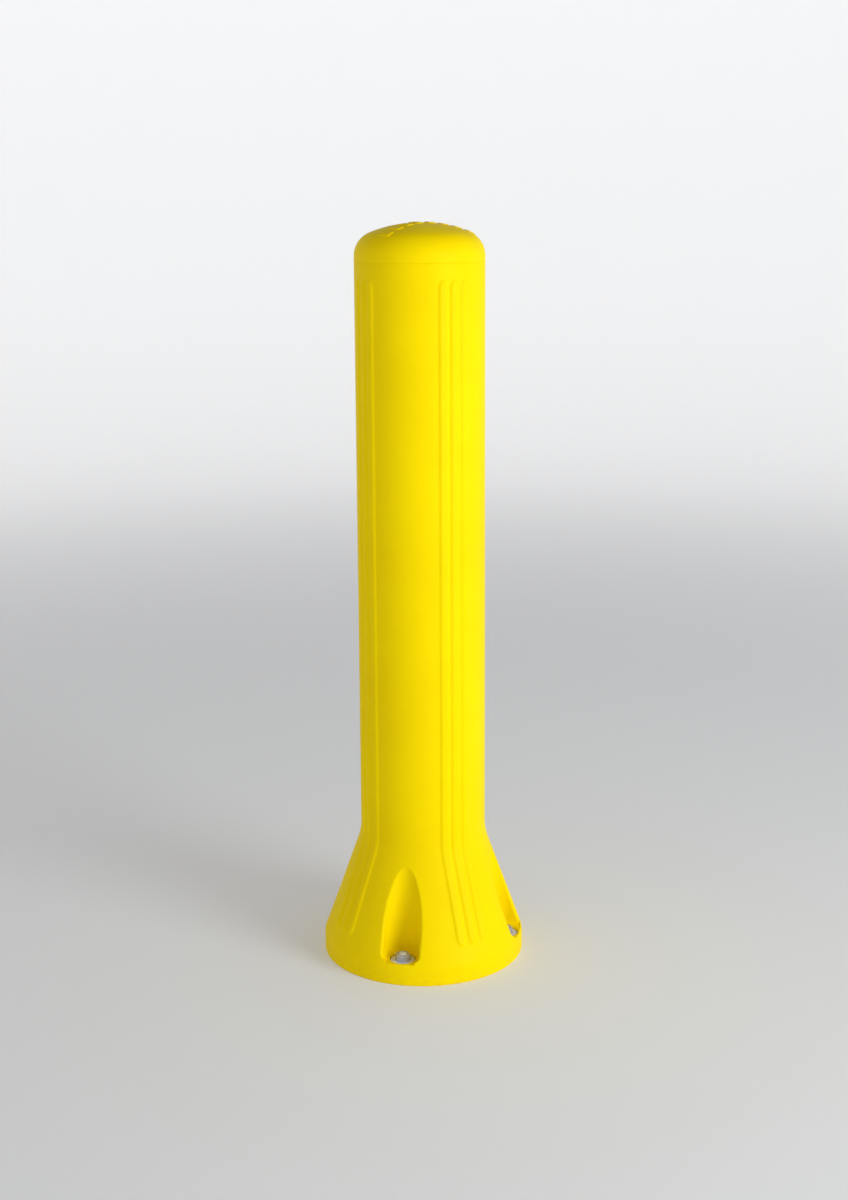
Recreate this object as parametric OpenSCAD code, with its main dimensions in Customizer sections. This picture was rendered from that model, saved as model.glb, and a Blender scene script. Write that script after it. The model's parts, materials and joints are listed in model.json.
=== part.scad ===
// Self-righting surface-mounted bollard: a flared moulded cover over a steel core post that tilts
// on a cross joint inside a ring spring, fixed to the floor by four anchors. Millimetres, +Z up.
// The origin is the centre of the base on the floor; -Y is the front.

/* [Cover] */
// Height of the bollard above the floor
height = 1067; // [950:1:1200]
// Outside diameter of the straight part of the cover
tube_d = 183; // [181:1:186]
// Outside diameter of the base rim
base_d = 295; // [290:1:300]
// Height of the upright rim round the base
rim_h = 28; // [26:0.5:30]
// Angle of the flare from the vertical
flare_angle = 19.9; // [19:0.1:21]
// Radius that blends the flare into the tube
neck_round = 95; // [60:1:110]
// Wall thickness of the cover
wall = 6; // [5:0.5:6.5]
// Radius of the domed top
dome_r = 190; // [175:1:195]
// Radius of the shoulder round the dome
shoulder_r = 35; // [25:1:36]
// Depth of the cap's seam below the top
seam_drop = 53; // [50:1:60]

/* [Ribs] */
// Sets of ribs round the cover
rib_sets = 4; // [2:1:4]
// Ribs in each set
ribs_per_set = 3; // [1:1:3]
// Angle from the front to the middle of the first set
rib_angle = 45; // [44:0.5:46]
// Angle between ribs in a set
rib_pitch = 10.6; // [10.4:0.1:12]
// Width of a rib
rib_w = 9; // [7:0.5:9.5]
// Height of a rib above the cover
rib_h = 2; // [1.8:0.1:3]
// Distance from the top of the bollard to the top of the ribs
rib_top_drop = 79; // [70:1:120]
// Height of the foot of the ribs above the floor
rib_foot = 56; // [45:1:80]

/* [Anchors] */
// Anchors and pockets round the base
anchors = 4; // [4:1:4]
// Diameter of the circle through the anchors
anchor_pcd = 250; // [246:1:252]
// Radius of the pocket round each anchor
pocket_r = 26.3; // [24:0.1:27]
// Radius of an anchor's plain shank
stud_r = 6.35; // [6:0.05:6.5]
// Length of an anchor below the floor
stud_below = 80; // [60:1:100]
// Width across the flats of an anchor's nut
nut_flats = 19; // [18:0.5:20]

/* [Base] */
// Thickness of the rubber floor pad
pad_t = 4; // [2:0.5:6]
// Thickness of the steel base plate
plate_t = 12; // [10:1:14]
// Thickness of the cover's bolting flange
flange_t = 11; // [9:1:12]

/* [Cross joint] */
// Height of the joint's centre above the floor
pivot_z = 75; // [74:1:80]
// Radius of the joint's pins
pin_r = 10; // [9:0.5:11]
// Running clearance between a pin and its bush
run_gap = 0.05; // [0.02:0.01:0.08]
// Half of the gap between a yoke's lugs
lug_in = 28; // [27:0.5:29]
// Thickness of a yoke's lug
lug_t = 12; // [10:1:13]
// Radius of the rounded end of a lug
lug_r = 18; // [16:1:18]

/* [Core] */
// Outside radius of the ring spring and of the post's flanges
ring_r = 76; // [74:0.5:78]
// Height of the ring spring
ring_h = 112; // [110:1:118]
// Outside diameter of the steel core post
post_d = 114.3; // [108:0.1:114.3]
// Wall of the steel core post
post_t = 5; // [3:0.5:8]
// Distance from the top of the bollard to the top of the core post
post_drop = 79; // [75:1:90]

/* [Hidden] */
$fn = 96;
tube_r = tube_d / 2;
base_r = base_d / 2;
flare = tan(flare_angle);
corner_z = rim_h + (base_r - tube_r) / flare;
neck_reach = neck_round * tan(flare_angle / 2);
seam_z = height - seam_drop;
neck_z = 60;
tube_z = 210;
big = 400;
arc_steps = 8;

dome_z = height - dome_r;
shoulder_x = tube_r - shoulder_r;
shoulder_z = dome_z + sqrt(pow(dome_r - shoulder_r, 2) - pow(shoulder_x, 2));
shoulder_angle = atan2(shoulder_z - dome_z, shoulder_x);

rib_round = (pow(rib_w / 2, 2) + pow(rib_h, 2)) / (2 * rib_h);
rib_sink = rib_round - rib_h;
rib_axis_r = tube_r - rib_sink;
rib_top = height - rib_top_drop;
rib_bend_z = corner_z - rib_sink * tan(flare_angle / 2);

anchor_r = anchor_pcd / 2;
pocket_axis_r = anchor_r + 1;
pocket_wall = 5;
plate_z = pad_t;
flange_z = plate_z + plate_t;
floor_z = flange_z + flange_t;
ledge_z = floor_z + 4.5;
seat_r = 18.5;
plate_r = 138;
pad_r = 140;
recess_r = 140.5;
flange_hole_r = 94;
stud_hole_r = 7;
thread_r = 6.1;
clip_or = stud_r + 0.3;
thread_z = 3;
sleeve_r = 10;
washer_r = 17.45;
washer_t = 3;
nut_h = 9;
nut_z = floor_z + washer_t;
stud_top = nut_z + nut_h + 0.5;
clip_h = 18;
cone_h = 10;
neck_r = 5;
shank_z = -stud_below + cone_h + clip_h + 4;

bush_r = 13;
bush_bore_r = pin_r + run_gap;
lug_out = lug_in + lug_t;
block_half = 25;
block_r = 19;
pin_end = lug_out + 6;
pin_gap = 2;
clip_in = lug_out + 0.1;
clip_t = 1.5;
groove_r = pin_r - 1.2;
clip_r = pin_r + 3.5;
yoke_foot_r = 51;
yoke_foot_t = 8;
screw_r = 5;
screw_hole_r = 5.5;
screw_head_r = 8;
screw_head_h = 10;
screw_key = 8;
yoke_screw_ring = 41;
ring_in = 54;
ring_z = flange_z;
yoke_z = ring_z + ring_h;
post_flange_t = 10;
post_flange_z = yoke_z + post_flange_t;
post_z = post_flange_z + post_flange_t;
post_r = post_d / 2;
post_top = height - post_drop;
post_screws = 6;
post_screw_ring = 67;
top_plate_t = 8;
spacer_h = 20;
spacer_skin = 4;
spacer_web = 8;
spacer_zs = [tube_z + 8, 590, post_top - top_plate_t - 26];
spigot_r = tube_r - wall - 0.2;
spigot_h = 27;
ledge_h = 7;
seal_r = 1.75;
seal_z = seam_z - 14;
bar_h = 1.4;
bar_w = 12;
bar_l = 20;
bar_step = 19;
bar_gap = 3.5;

yellow = [1.0, 0.86, 0.0];
steel = [0.62, 0.64, 0.66];
zinc = [0.78, 0.79, 0.8];
rubber = [0.09, 0.09, 0.1];
amber = [0.75, 0.45, 0.12];
nylon = [0.9, 0.9, 0.86];
bronze = [0.72, 0.5, 0.25];

// Points of an arc in the profile plane, from angle a0 to a1.
function arc(x, z, r, a0, a1) =
    [for (i = [0 : arc_steps]) let (a = a0 + (a1 - a0) * i / arc_steps) [x + r * cos(a), z + r * sin(a)]];

// Outline of the cover from the floor to the seam, moved in by inset.
function cover_outline(inset) = concat(
    [[0, 0], [base_r - inset, 0], [base_r - inset, rim_h - inset * tan(flare_angle / 2)]],
    arc(tube_r + neck_round, corner_z + neck_reach, neck_round + inset, 180 + flare_angle, 180),
    [[tube_r - inset, seam_z], [0, seam_z]]
);

// Outline of the domed cap above the seam, moved in by inset.
function dome_outline(inset) = concat(
    [[0, seam_z], [tube_r - inset, seam_z]],
    arc(shoulder_x, shoulder_z, shoulder_r - inset, 0, shoulder_angle),
    arc(0, dome_z, dome_r - inset, shoulder_angle, 90)
);

module around(count, first = 0) {
    for (i = [0 : count - 1]) rotate(first + i * 360 / count) children();
}

// Cylinder from r0 to r1, between two heights.
module ring(r0, r1, z0, z1) {
    difference() {
        translate([0, 0, z0]) cylinder(r = r1, h = z1 - z0);
        translate([0, 0, z0 - 1]) cylinder(r = r0, h = z1 - z0 + 2);
    }
}

// One rib down the tube and out along the flare, at the front.
module rib() {
    translate([0, -rib_axis_r, rib_top - rib_round]) sphere(r = rib_round);
    translate([0, -rib_axis_r, rib_bend_z])
        cylinder(r = rib_round, h = rib_top - rib_round - rib_bend_z);
    translate([0, -rib_axis_r, rib_bend_z]) sphere(r = rib_round);
    foot = (rib_bend_z - rib_foot) / cos(flare_angle) - rib_round;
    translate([0, -rib_axis_r, rib_bend_z]) rotate([180 - flare_angle, 0, 0]) {
        cylinder(r = rib_round, h = foot);
        translate([0, 0, foot]) sphere(r = rib_round);
    }
}

module ribs() {
    around(rib_sets, rib_angle)
        for (k = [0 : ribs_per_set - 1])
            rotate((k - (ribs_per_set - 1) / 2) * rib_pitch) rib();
}

// Upright slot round an anchor, open to the outside, with walls moved out by extra.
module pocket(extra, z0) {
    r = pocket_r + extra;
    translate([0, -pocket_axis_r, z0]) cylinder(r = r, h = tube_z - z0);
    translate([-r, -base_r - 10, z0]) cube([2 * r, base_r + 10 - pocket_axis_r, tube_z - z0]);
}

module cover_solid(inset) {
    rotate_extrude() polygon(cover_outline(inset));
}

// The cover between two heights, hollow, with its ribs.
module cover_wall(z0, z1) {
    difference() {
        intersection() {
            union() {
                cover_solid(0);
                ribs();
            }
            translate([0, 0, z0]) cylinder(r = big, h = z1 - z0);
        }
        difference() {
            cover_solid(wall);
            translate([0, 0, -1]) cylinder(r = big, h = floor_z + 1);
        }
    }
}

// The walls of the anchor pockets inside the cover, between two heights.
module pocket_walls(z0, z1) {
    intersection() {
        cover_solid(wall / 2);
        around(anchors) pocket(pocket_wall, z0);
        translate([0, 0, z0]) cylinder(r = big, h = z1 - z0);
    }
}

module floor_pad() {
    color(rubber) difference() {
        cylinder(r = pad_r, h = pad_t);
        around(anchors)
            translate([0, -anchor_r, -1]) cylinder(r = stud_r + 1.65, h = pad_t + 2);
    }
}

module base_plate() {
    color(steel) difference() {
        translate([0, 0, plate_z]) cylinder(r = plate_r, h = plate_t);
        around(anchors)
            translate([0, -anchor_r, plate_z - 1]) cylinder(r = stud_hole_r, h = plate_t + 2);
        around(4, 45) translate([yoke_screw_ring, 0, plate_z + 2]) cylinder(r = screw_r, h = plate_t);
    }
}

module cover_base() {
    color(yellow) difference() {
        union() {
            cover_wall(0, neck_z);
            pocket_walls(flange_z, neck_z);
        }
        around(anchors) {
            pocket(0, ledge_z);
            translate([0, -anchor_r, floor_z]) cylinder(r = seat_r, h = ledge_z);
            translate([0, -anchor_r, 0]) cylinder(r = sleeve_r, h = floor_z + 1);
        }
        translate([0, 0, -1]) cylinder(r = recess_r, h = flange_z + 1);
        translate([0, 0, flange_z - 1]) cylinder(r = flange_hole_r, h = floor_z);
    }
}

module limiter_sleeves() {
    color(zinc) around(anchors)
        translate([0, -anchor_r, 0]) ring(stud_hole_r, sleeve_r, flange_z, floor_z);
}

module anchor_studs() {
    color(zinc) around(anchors) translate([0, -anchor_r, 0]) {
        translate([0, 0, thread_z]) cylinder(r = thread_r, h = stud_top - thread_z - 1);
        translate([0, 0, stud_top - 1]) cylinder(r1 = thread_r, r2 = thread_r - 1, h = 1);
        translate([0, 0, shank_z]) cylinder(r = stud_r, h = thread_z - shank_z);
        translate([0, 0, -stud_below + cone_h]) cylinder(r = neck_r, h = shank_z + stud_below - cone_h);
        translate([0, 0, -stud_below + 2]) cylinder(r1 = thread_r, r2 = neck_r, h = cone_h - 2);
        translate([0, 0, -stud_below]) cylinder(r = thread_r, h = 2);
    }
}

module anchor_clips() {
    color(zinc) around(anchors) translate([0, -anchor_r, -stud_below + cone_h]) {
        difference() {
            ring(neck_r, clip_or, 0, clip_h);
            around(3) translate([-1, 0, -1]) cube([2, stud_r + 2, clip_h - 5]);
        }
    }
}

module anchor_washers() {
    color(zinc) around(anchors)
        translate([0, -anchor_r, 0]) ring(stud_hole_r - 0.2, washer_r, floor_z, nut_z);
}

module anchor_nuts() {
    corner_r = nut_flats / 2 / cos(30);
    color(zinc) around(anchors) translate([0, -anchor_r, nut_z]) difference() {
        intersection() {
            cylinder(r = corner_r, h = nut_h, $fn = 6);
            union() {
                cylinder(r = corner_r + 1, h = nut_h - 1);
                translate([0, 0, nut_h - 1])
                    cylinder(r1 = corner_r, r2 = corner_r - 1.6, h = 1);
            }
        }
        translate([0, 0, -1]) cylinder(r = thread_r, h = nut_h + 2);
    }
}

// A pair of lugs either side of the joint's centre along X, reaching to z0.
module lugs(z0) {
    difference() {
        for (s = [0, 1]) mirror([s, 0, 0]) {
            translate([lug_in, -lug_r, min(z0, pivot_z)]) cube([lug_t, 2 * lug_r, abs(pivot_z - z0)]);
            translate([lug_in, 0, pivot_z]) rotate([0, 90, 0]) cylinder(r = lug_r, h = lug_t);
        }
        translate([-big, 0, pivot_z]) rotate([0, 90, 0]) cylinder(r = bush_r, h = 2 * big);
    }
}

// A pair of bushes in the lugs.
module bushes() {
    for (s = [0, 1]) mirror([s, 0, 0]) translate([0, 0, pivot_z]) rotate([0, 90, 0])
        ring(bush_bore_r, bush_r, lug_in, lug_out);
}

// A pin along X between two distances, with a circlip groove near its outer end.
module joint_pin(x0) {
    translate([0, 0, pivot_z]) rotate([0, 90, 0]) difference() {
        union() {
            translate([0, 0, x0]) cylinder(r = pin_r, h = pin_end - 1 - x0);
            translate([0, 0, pin_end - 1]) cylinder(r1 = pin_r, r2 = pin_r - 1, h = 1);
        }
        ring(groove_r, pin_r + 1, clip_in, clip_in + clip_t);
    }
}

// A cap screw with a hexagon socket, its head on z = 0.
module cap_screw(reach) {
    difference() {
        union() {
            cylinder(r = screw_head_r, h = screw_head_h);
            translate([0, 0, -reach]) cylinder(r = screw_r, h = reach);
        }
        translate([0, 0, screw_head_h - 5]) cylinder(r = screw_key / 2 / cos(30), h = 6, $fn = 6);
    }
}

module base_yoke() {
    color(steel) difference() {
        union() {
            translate([0, 0, flange_z]) cylinder(r = yoke_foot_r, h = yoke_foot_t);
            lugs(flange_z + yoke_foot_t);
        }
        around(4, 45) translate([yoke_screw_ring, 0, flange_z - 1])
            cylinder(r = screw_hole_r, h = yoke_foot_t + 2);
    }
}

module base_yoke_screws() {
    color(zinc) around(4, 45) translate([yoke_screw_ring, 0, flange_z + yoke_foot_t])
        cap_screw(yoke_foot_t + plate_t - 2);
}

module base_bushes() {
    color(bronze) bushes();
}

module cross() {
    color(steel) difference() {
        union() {
            for (a = [0, 90]) rotate(a) translate([-block_half, 0, pivot_z]) rotate([0, 90, 0])
                cylinder(r = block_r, h = 2 * block_half);
            translate([0, 0, pivot_z]) sphere(r = block_r + 4);
        }
        for (a = [0, 90]) rotate(a) translate([-block_half - 1, 0, pivot_z]) rotate([0, 90, 0])
            cylinder(r = pin_r, h = 2 * block_half + 2);
    }
}

module tilt_pin_x() {
    color(zinc) for (s = [0, 1]) mirror([s, 0, 0]) joint_pin(0);
}

module tilt_pins_y() {
    color(zinc) for (s = [0, 1]) rotate(90 + 180 * s) joint_pin(pin_r + pin_gap);
}

module thrust_washers() {
    color(nylon) around(4) translate([0, 0, pivot_z]) rotate([0, 90, 0])
        ring(bush_bore_r, block_r - 2, block_half + 0.02, lug_in - 0.03);
}

module circlips() {
    color(steel) around(4) translate([0, 0, pivot_z]) rotate([0, 90, 0]) difference() {
        ring(groove_r, clip_r, clip_in, clip_in + clip_t);
        translate([0, -2, clip_in - 1]) cube([clip_r + 1, 4, clip_t + 2]);
    }
}

module ring_spring() {
    color(amber) difference() {
        ring(ring_in, ring_r, ring_z, yoke_z);
        for (k = [1 : 3]) translate([0, 0, ring_z + k * ring_h / 4])
            rotate_extrude() translate([ring_r + 2, 0]) circle(r = 7);
    }
}

module cover_neck() {
    color(yellow) difference() {
        union() {
            cover_wall(neck_z, tube_z);
            pocket_walls(neck_z, tube_z);
        }
        around(anchors) pocket(0, ledge_z);
    }
}

module post_yoke() {
    color(steel) difference() {
        union() {
            translate([0, 0, yoke_z]) cylinder(r = ring_r, h = post_flange_t);
            rotate(90) lugs(yoke_z);
        }
        around(post_screws) translate([post_screw_ring, 0, yoke_z - 1])
            cylinder(r = screw_r, h = post_flange_t + 2);
    }
}

module post_bushes() {
    color(bronze) rotate(90) bushes();
}

module core_post() {
    color(steel) difference() {
        union() {
            translate([0, 0, post_flange_z]) cylinder(r = ring_r, h = post_flange_t);
            translate([0, 0, post_flange_z])
                cylinder(r = post_r, h = post_top - top_plate_t - post_flange_z);
        }
        translate([0, 0, post_flange_z - 1]) cylinder(r = post_r - post_t, h = height);
        around(post_screws) translate([post_screw_ring, 0, post_flange_z - 1])
            cylinder(r = screw_hole_r, h = post_flange_t + 2);
    }
}

module post_flange_screws() {
    color(zinc) around(post_screws) translate([post_screw_ring, 0, post_z])
        cap_screw(2 * post_flange_t);
}

module top_plate() {
    color(steel) translate([0, 0, post_top - top_plate_t]) cylinder(r = post_r, h = top_plate_t);
}

// A spacer ring of I section between the core post and the cover.
module spacer(z0) {
    color(nylon) translate([0, 0, z0]) {
        ring(post_r, post_r + spacer_skin, 0, spacer_h);
        ring(post_r, tube_r - wall, (spacer_h - spacer_web) / 2, (spacer_h + spacer_web) / 2);
        ring(tube_r - wall - spacer_skin, tube_r - wall, 0, spacer_h);
    }
}

module cover_tube() {
    color(yellow) cover_wall(tube_z, seam_z);
}

// A row of raised blocks along X, starting at the origin and going the way of step's sign.
module grip_row(count, first, step) {
    for (k = [0 : count - 1]) translate([first + k * step, 0, seam_z])
        cube([bar_w, bar_l, seam_drop + bar_h]);
}

// Plain grip blocks that stand a little above the cap, in two rows that meet near its middle.
module grip_bars() {
    intersection() {
        difference() {
            rotate_extrude() polygon(dome_outline(-bar_h));
            rotate_extrude() polygon(dome_outline(wall / 2));
        }
        translate([12, -12, 0]) {
            rotate(59) grip_row(4, -bar_gap - bar_w, -bar_step);
            rotate(31) grip_row(4, bar_gap, bar_step);
        }
    }
}

module cap() {
    color(yellow) difference() {
        union() {
            rotate_extrude() polygon(dome_outline(0));
            grip_bars();
            translate([0, 0, seam_z - spigot_h]) cylinder(r = spigot_r, h = spigot_h + 1);
        }
        intersection() {
            rotate_extrude() polygon(dome_outline(wall));
            union() {
                cylinder(r = spigot_r - wall, h = height);
                translate([0, 0, seam_z + ledge_h]) cylinder(r = tube_r, h = seam_drop);
            }
        }
        translate([0, 0, seam_z - spigot_h - 1]) cylinder(r = spigot_r - wall, h = spigot_h + 2);
        ring(tube_r - wall - 2 * seal_r, tube_r, seal_z - seal_r - 0.2, seal_z + seal_r + 0.2);
    }
}

module cap_seal() {
    color(rubber) translate([0, 0, seal_z])
        rotate_extrude() translate([tube_r - wall - seal_r, 0]) circle(r = seal_r);
}

floor_pad();
base_plate();
cover_base();
limiter_sleeves();
anchor_studs();
anchor_clips();
anchor_washers();
anchor_nuts();
base_yoke();
base_yoke_screws();
base_bushes();
cross();
tilt_pin_x();
tilt_pins_y();
thrust_washers();
circlips();
ring_spring();
cover_neck();
post_yoke();
post_bushes();
core_post();
post_flange_screws();
top_plate();
spacer(spacer_zs[0]);  // spacer_lower
spacer(spacer_zs[1]);  // spacer_middle
spacer(spacer_zs[2]);  // spacer_upper
cover_tube();
cap();
cap_seal();
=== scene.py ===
"""Self-righting bollard: the looks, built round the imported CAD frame. Metres, +Z up, -Y is the front."""
import json
import math

import bpy
import numpy as np
from mathutils import Matrix, Vector


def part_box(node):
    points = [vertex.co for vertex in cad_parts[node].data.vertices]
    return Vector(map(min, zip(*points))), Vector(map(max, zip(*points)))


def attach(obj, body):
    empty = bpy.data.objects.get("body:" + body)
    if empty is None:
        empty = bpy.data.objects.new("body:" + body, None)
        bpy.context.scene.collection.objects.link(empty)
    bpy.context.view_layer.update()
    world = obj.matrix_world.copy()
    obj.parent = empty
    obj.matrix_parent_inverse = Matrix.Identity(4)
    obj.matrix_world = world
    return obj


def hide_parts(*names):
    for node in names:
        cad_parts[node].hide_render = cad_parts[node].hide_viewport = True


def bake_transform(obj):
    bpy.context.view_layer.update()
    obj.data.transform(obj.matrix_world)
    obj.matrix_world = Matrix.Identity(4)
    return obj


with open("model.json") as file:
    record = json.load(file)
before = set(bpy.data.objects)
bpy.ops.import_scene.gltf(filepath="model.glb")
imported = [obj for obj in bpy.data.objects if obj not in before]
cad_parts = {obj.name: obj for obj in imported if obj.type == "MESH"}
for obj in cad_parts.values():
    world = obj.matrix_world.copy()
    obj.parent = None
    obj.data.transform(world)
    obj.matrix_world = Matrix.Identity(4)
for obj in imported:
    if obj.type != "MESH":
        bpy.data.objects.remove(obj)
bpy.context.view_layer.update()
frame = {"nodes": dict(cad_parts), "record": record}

MM = 0.001

# ---------------------------------------------------------------- sizes, from the frame where it holds them
RIM_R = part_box("cover_base")[1].x
TUBE_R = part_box("cap")[1].x
SEAM_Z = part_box("cover_tube")[1].z
FLOOR_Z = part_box("anchor_washers")[0].z
ANCHOR_R = frame["record"]["mounts"][1]["dims"]["pcd_mm"] / 2 * MM
PAD_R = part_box("floor_pad")[1].x
FLANGE_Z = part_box("base_plate")[1].z
TOP_Z = 1067 * MM

RIM_H = 28 * MM
FLARE = math.radians(19.9)
SLOPE = math.tan(FLARE)
RIM_ROUND = 20 * MM
NECK_ROUND = 95 * MM
WALL = 6 * MM
CORNER_Z = RIM_H + (RIM_R - TUBE_R) / SLOPE
NECK_REACH = NECK_ROUND * math.tan(FLARE / 2)
RIM_REACH = RIM_ROUND * math.tan(FLARE / 2)
FOOT_ROUND = 1.5 * MM

QUARTERS = 4
RIBS = 3
RIB_STEP = math.radians(10.6)
RIB_MID = math.radians(45)
RIB_GATHER = 0.8
RIB_HALF = 8.2 * MM
RIB_CREST = 0.45
RIB_H = 1.8 * MM
RIB_H_FLARE = 2.4 * MM
RIB_FADE = 14 * MM
RIB_TOP = TOP_Z - 87 * MM
RIB_FOOT = 62 * MM
FOOT_ZONE = (50 * MM, 70 * MM)

POCKET_R = 26.3 * MM
POCKET_Y = ANCHOR_R + 1 * MM
POCKET_ROUND = 4 * MM
POCKET_FILLET = 7 * MM
LIP_ROUND = 2.2 * MM
POCKET_ZONE = math.radians(16)
POCKET_TIPS = (145 * MM, 166 * MM)

LEDGE_Z = FLOOR_Z + 4.5 * MM
SEAT_R = 18.5 * MM
SEAT_ROUND = 0.8 * MM
SLEEVE_R = 10 * MM

POCKET_WALL = 5 * MM
INNER_ROUND = 1 * MM
FLANGE_R = 94 * MM
RECESS_R = PAD_R + 0.5 * MM

SEAM_ROUND = 0.4 * MM
SPIGOT_GAP = 0.2 * MM
DOME_R = 190 * MM
SHOULDER_R = 35 * MM
DOME_Z = TOP_Z - DOME_R
SHOULDER_Z = DOME_Z + math.sqrt((DOME_R - SHOULDER_R) ** 2 - (TUBE_R - SHOULDER_R) ** 2)

# Heights round the cover's neck, where the real cover bends, and where its two skins meet.
BEND_LOW, BEND_MID, BEND_TOP = 35 * MM, 115 * MM, 205 * MM

# Spacing of the skins' rows, and the heights of the rows inside, where nothing is seen.
FINE_ROWS, FOOT_ROWS, FLARE_ROWS, RIM_ROWS, PLAIN_ROWS, TUBE_ROWS = (
    1 * MM, 1.3 * MM, 2.5 * MM, 6 * MM, 8 * MM, 28 * MM)
INSIDE_LOW = (BEND_MID, 95 * MM, 75 * MM, 50 * MM, FLOOR_Z)
INSIDE_HIGH = (SEAM_Z, 600 * MM, 215 * MM, 185 * MM, 170 * MM, 160 * MM, 150 * MM, 140 * MM, BEND_MID)
HALF_POINTS, RIB_POINTS = 48, 16
ARC_POINTS, EDGE_POINTS, EDGE_DENSITY = 40, 24, 3.0
SHARP_EDGE = 50


# ---------------------------------------------------------------- small helpers
def linear(r, g, b):
    """An sRGB colour from 0 to 255 as linear RGBA."""
    def one(c):
        c /= 255
        return c / 12.92 if c <= 0.04045 else ((c + 0.055) / 1.055) ** 2.4
    return (one(r), one(g), one(b), 1.0)


def smooth(t):
    """0 below 0, 1 above 1, and a smooth step between them."""
    t = np.clip(t, 0.0, 1.0)
    return t * t * (3 - 2 * t)


def new_mesh(name, points, faces):
    """A new smooth-shaded object in the scene."""
    mesh = bpy.data.meshes.new(name)
    mesh.from_pydata([tuple(p) for p in points], [], faces)
    mesh.validate()
    mesh.shade_smooth()
    piece = bpy.data.objects.new(name, mesh)
    bpy.context.scene.collection.objects.link(piece)
    return piece


def mark_sharp(piece, degrees):
    """Edges that turn by more than this stay crisp, the rest shade smoothly."""
    piece.data.set_sharp_from_angle(angle=math.radians(degrees))


# ---------------------------------------------------------------- the cover's shape
def outer_radius(z, inset=0.0):
    """Radius of the cover at height z without ribs or pockets, moved in by inset."""
    lean = inset * math.tan(FLARE / 2)
    if z <= RIM_H - RIM_REACH:
        return RIM_R - inset
    if inset == 0 and z < RIM_H + RIM_REACH * math.cos(FLARE):
        return RIM_R - RIM_ROUND + math.sqrt(RIM_ROUND**2 - (z - RIM_H + RIM_REACH) ** 2)
    if z >= CORNER_Z + NECK_REACH:
        return TUBE_R - inset
    if z > CORNER_Z - NECK_REACH * math.cos(FLARE):
        reach = NECK_ROUND + inset
        return TUBE_R + NECK_ROUND - math.sqrt(reach**2 - (CORNER_Z + NECK_REACH - z) ** 2)
    return min(RIM_R - inset, RIM_R - inset - (z - RIM_H + lean) * SLOPE)


def sweep(centre, radius, a0, a1, count):
    """Points on an arc from angle a0 to angle a1."""
    a = np.linspace(a0, a1, count)
    return np.stack([centre[0] + radius * np.cos(a), centre[1] + radius * np.sin(a)], 1)


def pocket_half(R, w, rho, count):
    """Half of the cover's outline over a pocket, from its middle to POCKET_ZONE, as count + 1 points.

    x runs along the rim and y outwards. R is the cover's radius, w the pocket's and rho rounds the edge.
    Points sit closer together on the rounded edge.
    """
    parts = []
    edge = 0.0
    if R + w > POCKET_Y + 1e-6:
        reach = R - rho
        cos_edge = (reach**2 + POCKET_Y**2 - (w + rho) ** 2) / (2 * POCKET_Y * reach)
        turn = math.acos(min(1.0, cos_edge))
        c = np.array([math.sin(turn), math.cos(turn)]) * reach
        wall = []
        if c[1] > POCKET_Y:
            c = np.array([w + rho, math.sqrt(reach**2 - (w + rho) ** 2)])
            wall = [np.array([[w, POCKET_Y], [w, c[1]]])]
            end = 0.0
            touch = np.array([w, c[1]])
        else:
            out = c - np.array([0, POCKET_Y])
            end = math.atan2(out[1], out[0])
            touch = np.array([0, POCKET_Y]) + w * out / np.linalg.norm(out)
        parts.append((sweep((0, POCKET_Y), w, -math.pi / 2, end, ARC_POINTS), 1.0))
        parts += [(p, 0.7) for p in wall]
        leave = c * R / reach
        a0 = math.atan2(touch[1] - c[1], touch[0] - c[0])
        a1 = math.atan2(leave[1] - c[1], leave[0] - c[0])
        if a1 < a0 - math.pi:
            a1 += 2 * math.pi
        if a0 < a1 - math.pi:
            a0 += 2 * math.pi
        parts.append((sweep(c, rho, a0, a1, EDGE_POINTS), EDGE_DENSITY))
        edge = math.atan2(leave[0], leave[1])
    parts.append((sweep((0, 0), R, math.pi / 2 - edge, math.pi / 2 - POCKET_ZONE, ARC_POINTS), 1.0))
    line, pace = [parts[0][0][0]], [0.0]
    for points, density in parts:
        for p in points:
            pace.append(pace[-1] + density * float(np.linalg.norm(p - line[-1])))
            line.append(p)
    line, pace = np.array(line), np.array(pace)
    u = np.linspace(0, pace[-1], count + 1)
    return np.stack([np.interp(u, pace, line[:, k]) for k in (0, 1)], 1), edge


def rib_step(R):
    """Angle between neighbouring ribs at a radius of R. On the flare a set runs nearly parallel."""
    return RIB_STEP * (TUBE_R / R) ** RIB_GATHER


def rib_angles(R):
    """Angles from the end of one pocket's zone to the start of the next, close together on the ribs."""
    half = RIB_HALF / R
    out, last = [], POCKET_ZONE
    for k in range(RIBS):
        mid = RIB_MID + (k - (RIBS - 1) / 2) * rib_step(R)
        gap = 8 if k == 0 else 4
        out += list(np.linspace(last, mid - half, gap + 1)[1:])
        out += list(np.linspace(mid - half, mid + half, RIB_POINTS + 1)[1:])
        last = mid + half
    out += list(np.linspace(last, math.pi / 2 - POCKET_ZONE, 9)[1:-1])
    return np.array(out)


def assemble(half, between):
    """Four equal quarters from half a pocket's outline and the stretch between two pockets."""
    mirrored = half[::-1, ::-1]
    quarter = np.concatenate([half, between, mirrored[:-1]])
    x, y = quarter[:, 0], -quarter[:, 1]
    turns = []
    for k in range(QUARTERS):
        c, s = round(math.cos(k * math.pi / 2)), round(math.sin(k * math.pi / 2))
        turns.append(np.stack([x * c - y * s, x * s + y * c], 1))
    return np.concatenate(turns)


def ring(R, w=POCKET_R, rho=POCKET_ROUND):
    """One closed outline of the cover: four pockets and the stretches between them."""
    half, _ = pocket_half(R, w, rho, HALF_POINTS)
    angles = rib_angles(R)
    return assemble(half, R * np.stack([np.sin(angles), np.cos(angles)], 1))


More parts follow.
